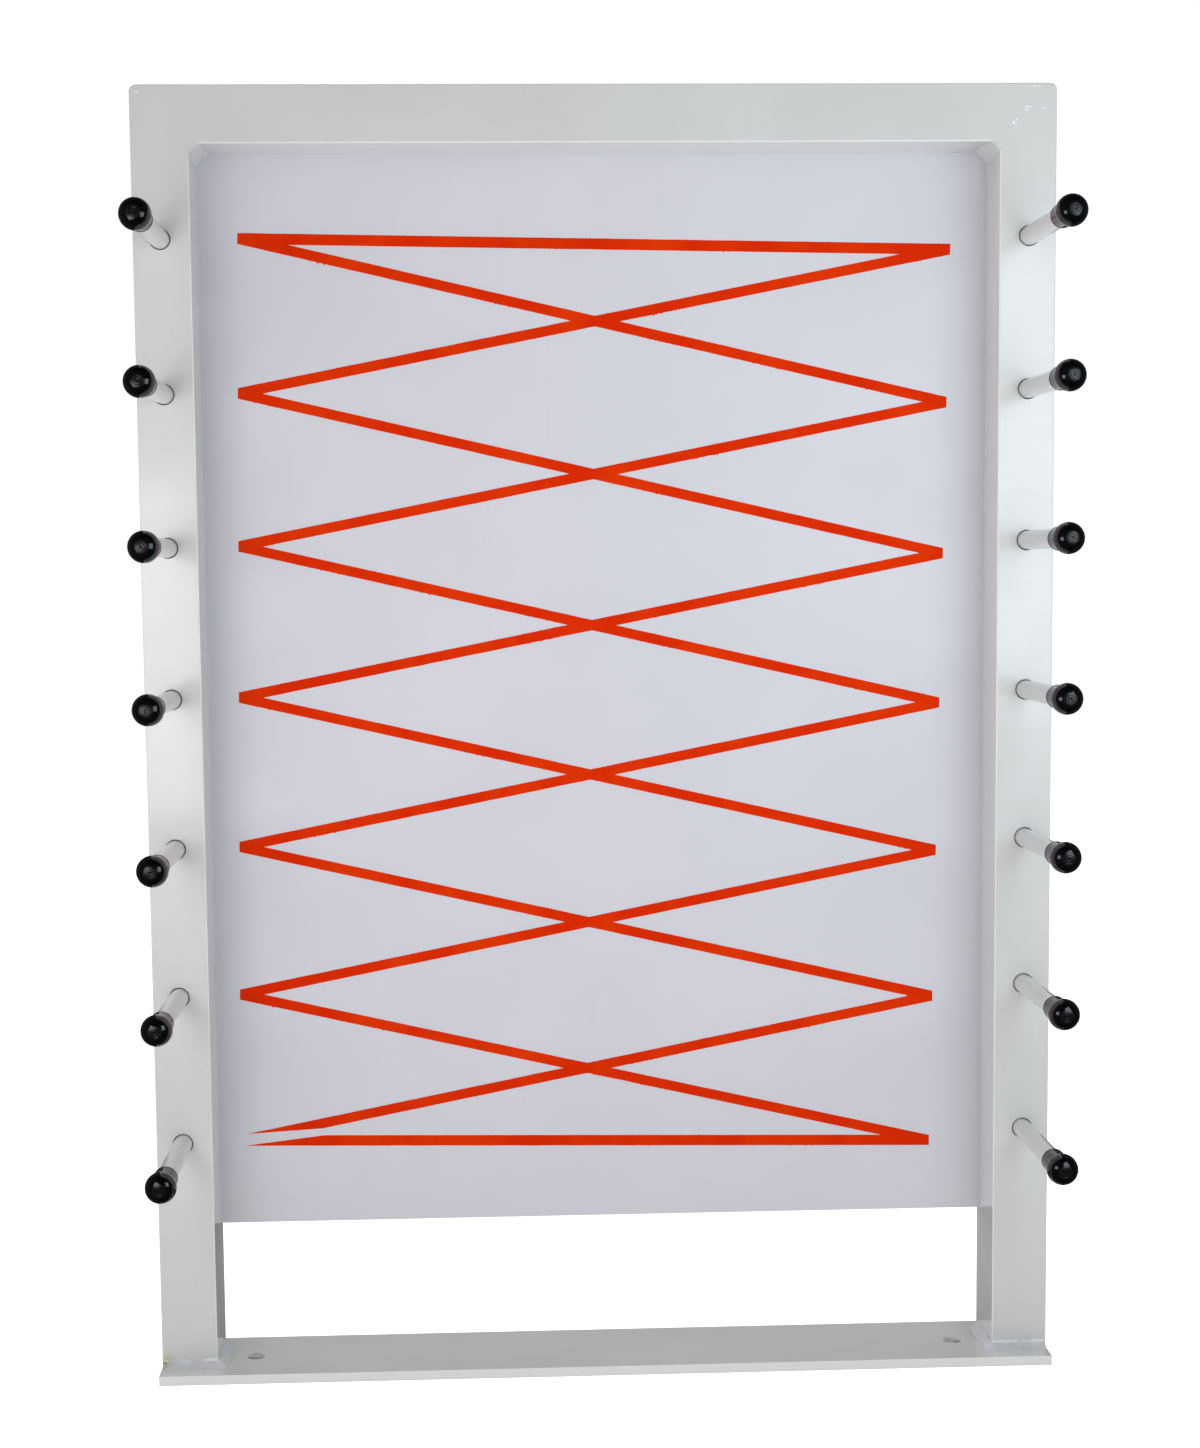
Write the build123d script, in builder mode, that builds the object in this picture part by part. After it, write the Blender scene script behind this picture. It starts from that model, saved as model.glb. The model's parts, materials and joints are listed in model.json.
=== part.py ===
"""Peg frame with a lattice board: a welded portal frame on a flat base bar.

Frame of reference: the origin is on the underside of the base plate, midway between its two
fixing holes. X runs along the width, the front of the frame faces -Y, and Z is up.
"""
import os
from math import atan2, cos, degrees, radians, sin, tan

from build123d import *

# ---- overall frame ----
frame_width = 970.0
frame_height = 1375.0
tube_face = 60.0            # width of the tube face that the pegs stand on
tube_depth = 80.0           # tube size from front to back
tube_wall = 3.0
tube_corner = 1.5           # outside radius along the tube edges, square inside
frame_corner = 8.0          # rounding of the ground mitre at the two top corners

# ---- base plate ----
plate_thick = 10.0
plate_depth = 120.0
plate_corner = 4.0
plate_edge = 0.8            # small radius along the rolled edges
hole_dia = 17.0             # clearance hole for an M16 anchor
hole_spacing = 772.0
tube_front = -30.0          # front face of the tubes, measured from the line of the holes

# ---- pegs ----
peg_dia = 20.0
peg_count = 7
peg_pitch = 160.0
peg_lowest = 257.0          # height of the lowest pegs
peg_side = 456.5            # distance of each row of pegs from the centre line
peg_reach = 135.0           # shoulder of the peg in front of the tube face
peg_hole = 22.0             # clearance hole in the front wall of the tube
peg_tail = 4.0              # how far the welded end stands out of the back wall
stud_dia = 12.0
stud_length = 26.0
stud_nose = 1.2             # chamfer on the end of the stud

# ---- ball knobs ----
ball_dia = 32.0
neck_dia = 24.0
neck_to_ball = 36.0         # open end of the neck to the centre of the ball
neck_edge = 1.2             # rounding of the neck's open end
neck_throat = 1.5           # hollow between the neck and the ball
insert_dia = 16.0
insert_length = 22.0
insert_sunk = 1.0           # insert sits this far inside the neck's open end
stud_room = 2.0             # free space past the end of the stud
tip_flat = 9.0              # small moulded flat on the tip of the ball
pit_dia = 3.0
pit_depth = 1.0

# ---- board ----
board_thick = 3.0
board_recess = 65.0         # board face behind the front face of the tubes
board_bottom = 150.0

# ---- orange lattice on the board ----
lattice_width = 769.0
lattice_pitch = 164.0
lattice_rows = 7
lattice_band = 11.4
lattice_film = 0.3
lattice_x = -8.0            # the film is stuck on a little left of the centre line
lattice_z = 727.5
lattice_turn = 1.1          # and turned a little clockwise, in degrees
split_length = 120.0        # the bottom left corner of the film is split into two points
split_end = 6.5

# ---- weld beads ----
foot_leg = 9.0
foot_stop = 12.0            # the foot beads stop this far from the inner back edge of the upright
corner_leg = 10.5           # inside corner fillets at the front
corner_leg_back = 13.5      # and where they run into the board
corner_start = 0.5          # corner fillets start this far behind the front faces
hollow_share = 0.62         # how far a concave bead is cut back from its straight slope
stitch_leg = 4.0
stitch_length = 60.0
stitch_rows = 5
stitch_columns = 4
stitch_pitch = 240.0
ring_leg = 4.0

# ---- worked out from the sizes above ----
half_width = frame_width / 2
inner_half = half_width - tube_face
tube_mid = tube_front + tube_depth / 2
tube_back = tube_front + tube_depth
board_front = tube_front + board_recess
board_back = board_front + board_thick
rail_underside = frame_height - tube_face
peg_heights = [peg_lowest + peg_pitch * (peg_count - 1 - n) for n in range(peg_count)]
shoulder = tube_front - peg_reach
sides = {"left": -1, "right": 1}

os.makedirs("parts", exist_ok=True)


def save(piece, name):
    """Label one finished piece and write it under its node name."""
    piece.label = name
    export_step(piece, "parts/" + name + ".step")


def facing(y):
    """Plane at depth y as seen from the front: local X is X, local Y is Z, normal -Y."""
    return Plane(origin=(0, y, 0), x_dir=(1, 0, 0), z_dir=(0, -1, 0))


def peg_points(side_list):
    """X and Z of every peg on the given sides."""
    return [(side * peg_side, height) for side in side_list for height in peg_heights]


def turning_plane(x, z, y_start):
    """Plane through one peg's axis: local X is its radius, local Y runs along it to the front."""
    return Plane(origin=(x, y_start, z), x_dir=(1, 0, 0), z_dir=(0, 0, -1))


def prism(outline, y_front, y_back):
    """Closed outline in X and Z, solid from y_front to y_back."""
    with BuildPart() as solid:
        with BuildSketch(facing(y_back)):
            with BuildLine():
                Polyline(*outline, close=True)
            make_face()
        extrude(amount=y_back - y_front)
    return solid.part


# ---- frame tubes ----
def corner_trim(side):
    """Sliver outside the rounded top corner of the frame."""
    centre_x = side * (half_width - frame_corner)
    centre_z = frame_height - frame_corner
    with BuildPart() as trim:
        with BuildSketch(facing(tube_back + 1)):
            with Locations((side * half_width, frame_height)):
                Rectangle(2 * frame_corner, 2 * frame_corner)
            with Locations((centre_x, centre_z)):
                Circle(frame_corner, mode=Mode.SUBTRACT)
        extrude(amount=tube_depth + 2)
    return trim.part


def mitre_wedge(side, cut_below):
    """Everything below or above the 45 degree mitre, for cutting one of the two tubes."""
    reach = 100
    inner = (side * inner_half, rail_underside)
    outer = (side * half_width, frame_height)
    past_inner = (side * (inner_half - reach), rail_underside - reach)
    past_outer = (side * (half_width + reach), frame_height + reach)
    if cut_below:
        far = (side * (half_width + reach), rail_underside - reach)
    else:
        far = (side * (inner_half - reach), frame_height + reach)
    return prism([past_inner, inner, outer, past_outer, far], tube_front - 1, tube_back + 1)


def box_section():
    """Hollow section of the frame tube, on the current sketch plane."""
    RectangleRounded(tube_face, tube_depth, tube_corner)
    Rectangle(tube_face - 2 * tube_wall, tube_depth - 2 * tube_wall, mode=Mode.SUBTRACT)


def build_upright(side, name):
    """Box tube with a mitred top and seven pairs of holes through its front and back walls."""
    wedge = mitre_wedge(side, cut_below=False)
    trim = corner_trim(side)
    middle = side * (half_width - tube_face / 2)
    with BuildPart() as upright:
        with BuildSketch(Plane(origin=(middle, tube_mid, plate_thick))):
            box_section()
        extrude(amount=frame_height - plate_thick)
        add(wedge, mode=Mode.SUBTRACT)
        add(trim, mode=Mode.SUBTRACT)
        for bore, depth in ((peg_hole, tube_depth), (peg_dia, -tube_depth)):
            with BuildSketch(facing(tube_mid)):
                with Locations(*peg_points([side])):
                    Circle(bore / 2)
            extrude(amount=depth, mode=Mode.SUBTRACT)
    save(upright.part, name)


def build_top_rail():
    """Box tube across the top, mitred at both ends."""
    cuts = [mitre_wedge(side, cut_below=True) for side in sides.values()]
    trims = [corner_trim(side) for side in sides.values()]
    middle = frame_height - tube_face / 2
    start = Plane(origin=(-half_width, tube_mid, middle), x_dir=(0, 0, -1), z_dir=(1, 0, 0))
    with BuildPart() as rail:
        with BuildSketch(start):
            box_section()
        extrude(amount=frame_width)
        add(cuts, mode=Mode.SUBTRACT)
        add(trims, mode=Mode.SUBTRACT)
    save(rail.part, "top_rail")


def build_base_plate():
    """Flat bar with two fixing holes on its middle line."""
    with BuildPart() as plate:
        with BuildSketch(Plane.XY):
            RectangleRounded(frame_width, plate_depth, plate_corner)
        extrude(amount=plate_thick)
        rims = plate.edges().filter_by(Axis.Z, reverse=True)
        fillet(rims, plate_edge)
        with BuildSketch(Plane.XY):
            with GridLocations(hole_spacing, plate_depth, 2, 1):
                Circle(hole_dia / 2)
        extrude(amount=plate_thick, mode=Mode.SUBTRACT)
    save(plate.part, "base_plate")


# ---- board and lattice ----
def build_board():
    """Flat sheet between the uprights, from the rail down to the gap above the base plate."""
    with BuildPart() as board:
        with BuildSketch(facing(board_back)):
            with Locations((0, (board_bottom + rail_underside) / 2)):
                Rectangle(2 * inner_half, rail_underside - board_bottom)
        extrude(amount=board_thick)
    save(board.part, "board")


def build_lattice():
    """Film of two level bands and twelve crossing bands, cut square at the sides."""
    turn = radians(lattice_turn)
    middle_row = (lattice_rows - 1) / 2
    rows = [lattice_pitch * (middle_row - n) for n in range(lattice_rows)]
    slope = degrees(atan2(lattice_pitch, lattice_width))
    half = lattice_width / 2
    half_band = lattice_band / 2
    half_slope = tan(radians(slope / 2))
    split_x = split_length - half
    split_z = rows[-1] + split_length * half_slope
    film = Plane(origin=(lattice_x, board_front, lattice_z),
                 x_dir=(cos(turn), 0, -sin(turn)), z_dir=(0, -1, 0))
    with BuildPart() as lattice:
        with BuildSketch(film):
            for row in (rows[0], rows[-1]):
                with Locations((0, row)):
                    Rectangle(lattice_width + lattice_pitch, lattice_band)
            for upper, lower in zip(rows, rows[1:]):
                for angle in (slope, -slope):
                    with Locations((0, (upper + lower) / 2)):
                        Rectangle(lattice_width + lattice_pitch, lattice_band, rotation=angle)
            Rectangle(lattice_width, lattice_pitch * lattice_rows, mode=Mode.INTERSECT)
            with BuildLine():
                Polyline((-half, rows[-1] - half_band), (-half, rows[-1] + half_band),
                         (split_x, split_z + split_end / 2), (split_x, split_z - split_end / 2),
                         close=True)
            make_face(mode=Mode.SUBTRACT)
        extrude(amount=lattice_film)
    save(lattice.part, "lattice_print")


# ---- pegs and knobs ----
def build_peg(x, z, name):
    """Round bar through the tube, turned down at the front to a stud for the knob."""
    length = tube_back + peg_tail - shoulder
    axis_plane = turning_plane(x, z, shoulder)
    with BuildPart() as peg:
        with BuildSketch(axis_plane):
            with BuildLine():
                Polyline((0, -length), (peg_dia / 2, -length), (peg_dia / 2, 0),
                         (stud_dia / 2, 0), (stud_dia / 2, stud_length - stud_nose),
                         (stud_dia / 2 - stud_nose, stud_length), (0, stud_length), close=True)
            make_face()
        revolve(axis=Axis(axis_plane.origin, axis_plane.y_dir))
    save(peg.part, name)


def build_knob(x, z, name):
    """Moulded ball with a round neck, bored for its insert and for the peg's stud."""
    axis_plane = turning_plane(x, z, shoulder)
    ball_r = ball_dia / 2
    neck_r = neck_dia / 2
    joint = neck_to_ball - (ball_r ** 2 - neck_r ** 2) ** 0.5
    tip = neck_to_ball + (ball_r ** 2 - (tip_flat / 2) ** 2) ** 0.5
    side_angle = degrees(atan2(joint - neck_to_ball, neck_r))
    tip_angle = degrees(atan2(tip - neck_to_ball, tip_flat / 2))
    insert_end = insert_sunk + insert_length
    bore_end = stud_length + stud_room
    with BuildPart() as knob:
        with BuildSketch(axis_plane):
            with BuildLine():
                Line((0, 0), (neck_r, 0))
                Line((neck_r, 0), (neck_r, joint))
                CenterArc((0, neck_to_ball), ball_r, side_angle, tip_angle - side_angle)
                Polyline((tip_flat / 2, tip), (pit_dia / 2, tip), (pit_dia / 2, tip - pit_depth),
                         (0, tip - pit_depth), (0, 0))
            make_face()
        revolve(axis=Axis(axis_plane.origin, axis_plane.y_dir))
        round_edges = knob.edges().filter_by(GeomType.CIRCLE)
        mouth = round_edges.sort_by(Axis.Y)[-1]
        fillet(mouth, neck_edge)
        throat = [edge for edge in knob.edges().filter_by(GeomType.CIRCLE)
                  if abs(edge.center().Y - (shoulder - joint)) < 0.01]
        fillet(throat, neck_throat)
        with BuildSketch(facing(shoulder)):
            with Locations((x, z)):
                Circle(insert_dia / 2)
        extrude(amount=insert_end, mode=Mode.SUBTRACT)
        with BuildSketch(facing(shoulder)):
            with Locations((x, z)):
                Circle(stud_dia / 2)
        extrude(amount=bore_end, mode=Mode.SUBTRACT)
    save(knob.part, name)


def build_inserts():
    """Metal inserts moulded into the knobs, one solid for each."""
    with BuildPart() as inserts:
        with BuildSketch(facing(shoulder - insert_sunk)):
            with Locations(*peg_points(sides.values())):
                Circle(insert_dia / 2)
                Circle(stud_dia / 2, mode=Mode.SUBTRACT)
        extrude(amount=insert_length)
    save(inserts.part, "knob_inserts")


# ---- welds ----
def build_foot_weld(side, name):
    """Fillet along the front and inner side of an upright's foot, and another along its back."""
    middle = side * (half_width - tube_face / 2)
    with BuildPart() as weld:
        with BuildSketch(Plane(origin=(middle, tube_mid, plate_thick))):
            RectangleRounded(tube_face + 2 * foot_leg, tube_depth + 2 * foot_leg,
                             tube_corner + foot_leg)
        with BuildSketch(Plane(origin=(middle, tube_mid, plate_thick + foot_leg))):
            RectangleRounded(tube_face + 1, tube_depth + 1, tube_corner + 0.5)
        loft()
        with BuildSketch(Plane(origin=(middle, tube_mid, plate_thick))):
            RectangleRounded(tube_face, tube_depth, tube_corner)
        extrude(amount=2 * foot_leg, mode=Mode.SUBTRACT)
        with BuildSketch(Plane.XY):
            with Locations((side * (half_width + foot_leg), tube_mid)):
                Rectangle(2 * foot_leg, 2 * tube_depth)
            with Locations((side * inner_half, tube_back)):
                Rectangle(2 * foot_stop, 2 * foot_stop)
        extrude(amount=plate_thick + 2 * foot_leg, mode=Mode.SUBTRACT)
    save(weld.part, name)


def build_corner_welds():
    """Inside corner fillets between the uprights and the rail, growing towards the board."""
    ends = ((board_front, corner_leg_back), (tube_front + corner_start, corner_leg))
    with BuildPart() as welds:
        for side in sides.values():
            for y, leg in ends:
                middle = leg / 2 * hollow_share
                with BuildSketch(facing(y)):
                    with BuildLine():
                        Polyline((side * inner_half, rail_underside - leg),
                                 (side * inner_half, rail_underside),
                                 (side * (inner_half - leg), rail_underside))
                        ThreePointArc((side * (inner_half - leg), rail_underside),
                                      (side * (inner_half - middle), rail_underside - middle),
                                      (side * inner_half, rail_underside - leg))
                    make_face()
            loft()
    save(welds.part, "top_corner_welds")


def build_stitch_welds():
    """Short beads behind the board, down both uprights and along the rail."""
    first = (board_bottom + rail_underside - stitch_pitch * (stitch_rows - 1)) / 2
    with BuildPart() as welds:
        for side in sides.values():
            for n in range(stitch_rows):
                start = first + stitch_pitch * n - stitch_length / 2
                with BuildSketch(Plane.XY.offset(start)):
                    with BuildLine():
                        Polyline((side * inner_half, board_back),
                                 (side * (inner_half - stitch_leg), board_back),
                                 (side * inner_half, board_back + stitch_leg), close=True)
                    make_face()
                extrude(amount=stitch_length)
        for n in range(stitch_columns):
            start = stitch_pitch * (n - (stitch_columns - 1) / 2) - stitch_length / 2
            with BuildSketch(Plane.YZ.offset(start)):
                with BuildLine():
                    Polyline((board_back, rail_underside), (board_back + stitch_leg, rail_underside),
                             (board_back, rail_underside - stitch_leg), close=True)
                make_face()
            extrude(amount=stitch_length)
    save(welds.part, "board_back_welds")


def build_ring_welds():
    """Fillet round each peg where it comes out of the back wall of its tube."""
    with BuildPart() as rings:
        for x, z in peg_points(sides.values()):
            axis_plane = turning_plane(x, z, tube_back)
            with BuildSketch(axis_plane):
                with BuildLine():
                    Polyline((peg_dia / 2, 0), (peg_dia / 2 + ring_leg, 0),
                             (peg_dia / 2, -peg_tail), close=True)
                make_face()
            revolve(axis=Axis(axis_plane.origin, axis_plane.y_dir))
    save(rings.part, "peg_back_welds")


for side_name, side_sign in sides.items():
    build_upright(side_sign, side_name + "_upright")
    build_foot_weld(side_sign, side_name + "_foot_weld")
    for number, (peg_x, peg_z) in enumerate(peg_points([side_sign]), start=1):
        build_peg(peg_x, peg_z, f"peg_{side_name}_{number}")
        build_knob(peg_x, peg_z, f"knob_{side_name}_{number}")
build_top_rail()
build_base_plate()
build_board()
build_lattice()
build_inserts()
build_corner_welds()
build_stitch_welds()
build_ring_welds()
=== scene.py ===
"""Looks for the peg frame with a lattice board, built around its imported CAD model, in metres."""
import json
import math
import random

import bpy
from mathutils import Matrix, Vector, noise
from mathutils.geometry import delaunay_2d_cdt


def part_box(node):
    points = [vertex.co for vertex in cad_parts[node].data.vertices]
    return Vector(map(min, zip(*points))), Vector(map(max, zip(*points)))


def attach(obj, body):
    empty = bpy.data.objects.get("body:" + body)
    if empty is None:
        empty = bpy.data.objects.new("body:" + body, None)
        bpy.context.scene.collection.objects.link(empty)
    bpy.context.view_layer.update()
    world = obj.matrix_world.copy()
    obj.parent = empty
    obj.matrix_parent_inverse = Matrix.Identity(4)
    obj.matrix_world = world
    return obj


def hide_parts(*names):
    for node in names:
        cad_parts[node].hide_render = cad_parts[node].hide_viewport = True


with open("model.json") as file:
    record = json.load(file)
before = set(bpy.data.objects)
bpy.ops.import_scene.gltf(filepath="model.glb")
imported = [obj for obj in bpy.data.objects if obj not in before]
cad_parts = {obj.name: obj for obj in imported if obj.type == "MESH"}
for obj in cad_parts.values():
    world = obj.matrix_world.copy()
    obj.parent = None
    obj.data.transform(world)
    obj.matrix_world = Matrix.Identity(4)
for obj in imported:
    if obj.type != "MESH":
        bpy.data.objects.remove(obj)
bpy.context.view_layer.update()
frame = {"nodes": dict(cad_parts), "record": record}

MM = 0.001
SIDES = {"left": -1, "right": 1}
PEGS = range(1, 8)

rail_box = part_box("top_rail")
plate_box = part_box("base_plate")
board_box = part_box("board")

tube_front = rail_box[0].y
tube_back = rail_box[1].y
rail_underside = rail_box[0].z
inner_half = board_box[1].x
outer_half = plate_box[1].x
plate_top = plate_box[1].z
plate_half_depth = plate_box[1].y
board_front = board_box[0].y
board_back = board_box[1].y

anchors = next(m["dims"] for m in frame["record"]["mounts"] if m["name"] == "anchor_holes")
anchor_radius = anchors["hole_r_mm"] * MM
anchor_x = anchors["spacing_x_mm"] / 2 * MM


# ---- small helpers ----
def smooth(low, high, value):
    """0 below low, 1 above high, eased in between."""
    t = min(1.0, max(0.0, (value - low) / (high - low)))
    return t * t * (3 - 2 * t)


def add_mesh(name, points, faces, material, sharp_angle=40):
    """A mesh piece in the row frame that rides on the one body of the part."""
    mesh = bpy.data.meshes.new(name)
    mesh.from_pydata([tuple(p) for p in points], [], faces)
    mesh.validate()
    mesh.update()
    piece = bpy.data.objects.new(name, mesh)
    bpy.context.scene.collection.objects.link(piece)
    mesh.materials.append(material)
    mesh.shade_smooth()
    mesh.set_sharp_from_angle(angle=math.radians(sharp_angle))
    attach(piece, "root")
    return piece


def joined(parts):
    """Several (points, faces) pairs as one."""
    points, faces = [], []
    for part_points, part_faces in parts:
        start = len(points)
        points += part_points
        faces += [tuple(i + start for i in face) for face in part_faces]
    return points, faces


def ring_faces(start_a, start_b, count, closed=True):
    """Quads between two rows of points."""
    last = count if closed else count - 1
    return [(start_a + i, start_a + (i + 1) % count, start_b + (i + 1) % count, start_b + i)
            for i in range(last)]


# ---- materials ----
def rgb(red, green, blue):
    return (red, green, blue, 1.0)


def wire(tree, source, target):
    """Links an output to an input, or sets the input to a plain value."""
    if isinstance(source, bpy.types.NodeSocket):
        tree.links.new(source, target)
    else:
        target.default_value = source


class Look:
    """A node material round one Principled shader, with patterns in real-scale coordinates."""

    def __init__(self, name, **constants):
        self.material = bpy.data.materials.new(name + "_look")
        self.material.use_nodes = True
        self.tree = self.material.node_tree
        self.tree.nodes.clear()
        self.shader = self.tree.nodes.new("ShaderNodeBsdfPrincipled")
        output = self.tree.nodes.new("ShaderNodeOutputMaterial")
        self.tree.links.new(self.shader.outputs["BSDF"], output.inputs["Surface"])
        self.place = self.tree.nodes.new("ShaderNodeTexCoord").outputs["Object"]
        for socket, value in constants.items():
            self.shader.inputs[socket.replace("_", " ")].default_value = value

    def node(self, kind, **settings):
        made = self.tree.nodes.new(kind)
        for key, value in settings.items():
            setattr(made, key, value)
        return made

    def plug(self, source, target):
        wire(self.tree, source, target)

    def split(self, vector):
        """The X, Y and Z of a vector."""
        parts = self.node("ShaderNodeSeparateXYZ")
        self.plug(vector, parts.inputs[0])
        return tuple(parts.outputs)

    def stretch(self, scale):
        """Coordinates scaled differently along each axis."""
        mapping = self.node("ShaderNodeMapping")
        self.plug(self.place, mapping.inputs["Vector"])
        mapping.inputs["Scale"].default_value = scale
        return mapping.outputs["Vector"]

    def noise(self, size, detail=2.0, rough=0.5, vector=None):
        """Noise whose features are about size metres across."""
        made = self.node("ShaderNodeTexNoise")
        self.plug(vector or self.place, made.inputs["Vector"])
        made.inputs["Scale"].default_value = 1 / size
        made.inputs["Detail"].default_value = detail
        made.inputs["Roughness"].default_value = rough
        return made.outputs["Fac"]

    def remap(self, value, low, high, to_low, to_high):
        made = self.node("ShaderNodeMapRange", interpolation_type="SMOOTHSTEP")
        for name, given in (("Value", value), ("From Min", low), ("From Max", high),
                            ("To Min", to_low), ("To Max", to_high)):
            self.plug(given, made.inputs[name])
        return made.outputs["Result"]

    def math(self, operation, a, b=0.0):
        made = self.node("ShaderNodeMath", operation=operation)
        self.plug(a, made.inputs[0])
        self.plug(b, made.inputs[1])
        return made.outputs[0]

    def times(self, *factors):
        """The product of several values."""
        product = factors[0]
        for factor in factors[1:]:
            product = self.math("MULTIPLY", product, factor)
        return product

    def mix(self, share, colour_a, colour_b):
        made = self.node("ShaderNodeMix", data_type="RGBA")
        self.plug(share, made.inputs["Factor"])
        self.plug(colour_a, made.inputs[6])
        self.plug(colour_b, made.inputs[7])
        return made.outputs[2]

    def near(self, centre, radius, soft):
        """1 within radius of a point in the row frame, falling to 0 over soft."""
        gap = self.node("ShaderNodeVectorMath", operation="DISTANCE")
        self.plug(self.place, gap.inputs[0])
        gap.inputs[1].default_value = centre
        return self.remap(gap.outputs["Value"], radius, radius + soft, 1.0, 0.0)

    def painted_edge_highlight(self):
        """Painted highlight mask: 1 on the rounded edges of the opening and the plate, 0 on flat faces and
        by the corner welds.
        """
        edge_band, corner_weld, corner_fade = 2 * MM, 8.5 * MM, 2 * MM
        flatness = 0.0
        for facing in self.split(self.node("ShaderNodeTexCoord").outputs["Normal"]):
            flatness = self.math("MAXIMUM", self.math("ABSOLUTE", facing), flatness)
        x, y, z = self.split(self.place)
        opening = self.times(self.math("LESS_THAN", self.math("ABSOLUTE", x), inner_half + edge_band),
                             self.math("GREATER_THAN", z, plate_top))
        plate_rim = self.math("GREATER_THAN", self.math("ABSOLUTE", y), plate_half_depth - edge_band)
        edges = self.math("MAXIMUM", opening, plate_rim)
        for sign in SIDES.values():
            corner = self.near((sign * inner_half, tube_front, rail_underside), corner_weld, corner_fade)
            edges = self.times(edges, self.math("SUBTRACT", 1.0, corner))
        return self.times(edges, self.remap(flatness, 0.90, 0.985, 1.0, 0.0))

    def specks(self, size, share, radius):
        """Heights of scattered round grains: cells of size metres, a share of them filled."""
        cells = self.node("ShaderNodeTexVoronoi")
        self.plug(self.place, cells.inputs["Vector"])
        cells.inputs["Scale"].default_value = 1 / size
        grain = self.remap(cells.outputs["Distance"], 0.0, radius / size, 1.0, 0.0)
        red = self.node("ShaderNodeSeparateColor")
        self.plug(cells.outputs["Color"], red.inputs["Color"])
        chosen = self.math("GREATER_THAN", red.outputs["Red"], 1 - share)
        return self.times(grain, chosen)

    def colour(self, value):
        self.plug(value, self.shader.inputs["Base Color"])

    def roughness(self, value):
        self.plug(value, self.shader.inputs["Roughness"])

    def bump(self, *layers):
        """Stacks bump layers, each a (height, depth in metres) pair."""
        normal = None
        for height, depth in layers:
            made = self.node("ShaderNodeBump")
            made.inputs["Distance"].default_value = depth
            made.inputs["Strength"].default_value = 1.0
            self.plug(height, made.inputs["Height"])
            if normal is not None:
                self.plug(normal, made.inputs["Normal"])
            normal = made.outputs["Normal"]
        self.plug(normal, self.shader.inputs["Normal"])
        self.plug(normal, self.shader.inputs["Coat Normal"])


stain_yellow = rgb(0.60, 0.58, 0.40)


def foot_stain(look):
    """1 at the outer end of the left foot, where water has stood, falling to 0 round it."""
    return look.near((-outer_half + 4 * MM, tube_front, plate_top + 7 * MM), 1 * MM, 13 * MM)


def anchor_hole_painted_shade(look, y):
    """Painted shade: a patchy dark band round the front of the two anchor holes, for the shade at the near
    rim of each hole.
    """
    hole_shade = 0.0
    for sign in SIDES.values():
        rim = look.near((sign * anchor_x, 0.0, plate_top), anchor_radius + 2.6 * MM, 1.2 * MM)
        hole_shade = look.math("MAXIMUM", rim, hole_shade)
    patchy = look.remap(look.noise(0.006, 2.0), 0.35, 0.5, 0.35, 0.9)
    return look.times(hole_shade, look.remap(y, -6.0 * MM, -4.5 * MM, 1.0, 0.0), patchy)


def bead_toe_painted_highlight(look, y, z):
    """Painted highlight: a bright, broken line along the upper toe of the beads at the front of the feet."""
    low, high, limit = plate_top + 6.3 * MM, plate_top + 7.1 * MM, plate_top + 12 * MM
    return look.times(look.remap(z, low, high, 0.0, 1.0), look.math("LESS_THAN", z, limit),
                      look.math("LESS_THAN", y, tube_front),
                      look.remap(look.noise(0.012, 2.0), 0.38, 0.55, 0.1, 1.0))


def make_frame_paint():
    """Off-white gloss enamel: orange peel, slow tint and gloss changes, a few dust nibs, painted light on
    the plate's front face, a painted highlight on the rounded edges and painted shade at the front of the
    anchor holes.
    """
    look = Look("frame_paint", IOR=1.5, Coat_Weight=1.0, Coat_Roughness=0.11, Coat_IOR=1.5)
    cloud = look.noise(0.11, 3.0)
    mottle = look.noise(0.006, 3.0, 0.6)
    nibs = look.specks(0.021, 0.22, 0.6 * MM)
    y = look.split(look.place)[1]
    # Painted light: the plate's front face is painted lighter, where the lamps in front fall full on it.
    painted_lit_plate_front = look.math("LESS_THAN", y, 1 * MM - plate_half_depth)
    blotches = look.remap(look.noise(0.008, 3.0), 0.3, 0.6, 0.25, 0.8)
    tint = look.mix(look.remap(cloud, 0.35, 0.65, 0.0, 1.0),
                    rgb(0.692, 0.694, 0.677), rgb(0.716, 0.717, 0.704))
    for share, colour in ((look.remap(mottle, 0.5, 0.8, 0.0, 0.22), rgb(0.640, 0.645, 0.630)),
                          # painted light on the plate's front face
                          (look.times(painted_lit_plate_front, 0.8), rgb(0.86, 0.86, 0.84)),
                          # painted highlight: the rounded edges are painted lighter than the faces
                          (look.painted_edge_highlight(), rgb(0.90, 0.895, 0.87)),
                          (look.times(foot_stain(look), blotches), stain_yellow),
                          # painted shade at the front rim of the anchor holes
                          (anchor_hole_painted_shade(look, y), rgb(0.09, 0.09, 0.09)),
                          (look.times(nibs, 0.5), rgb(0.46, 0.45, 0.42))):
        tint = look.mix(share, tint, colour)
    look.colour(tint)
    look.roughness(look.remap(look.noise(0.03, 3.0), 0.3, 0.7, 0.30, 0.42))
    look.bump((look.noise(0.09, 1.0), 0.00025), (look.noise(0.0026, 2.0), 0.000035),
              (nibs, 0.00025))
    return look.material


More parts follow.
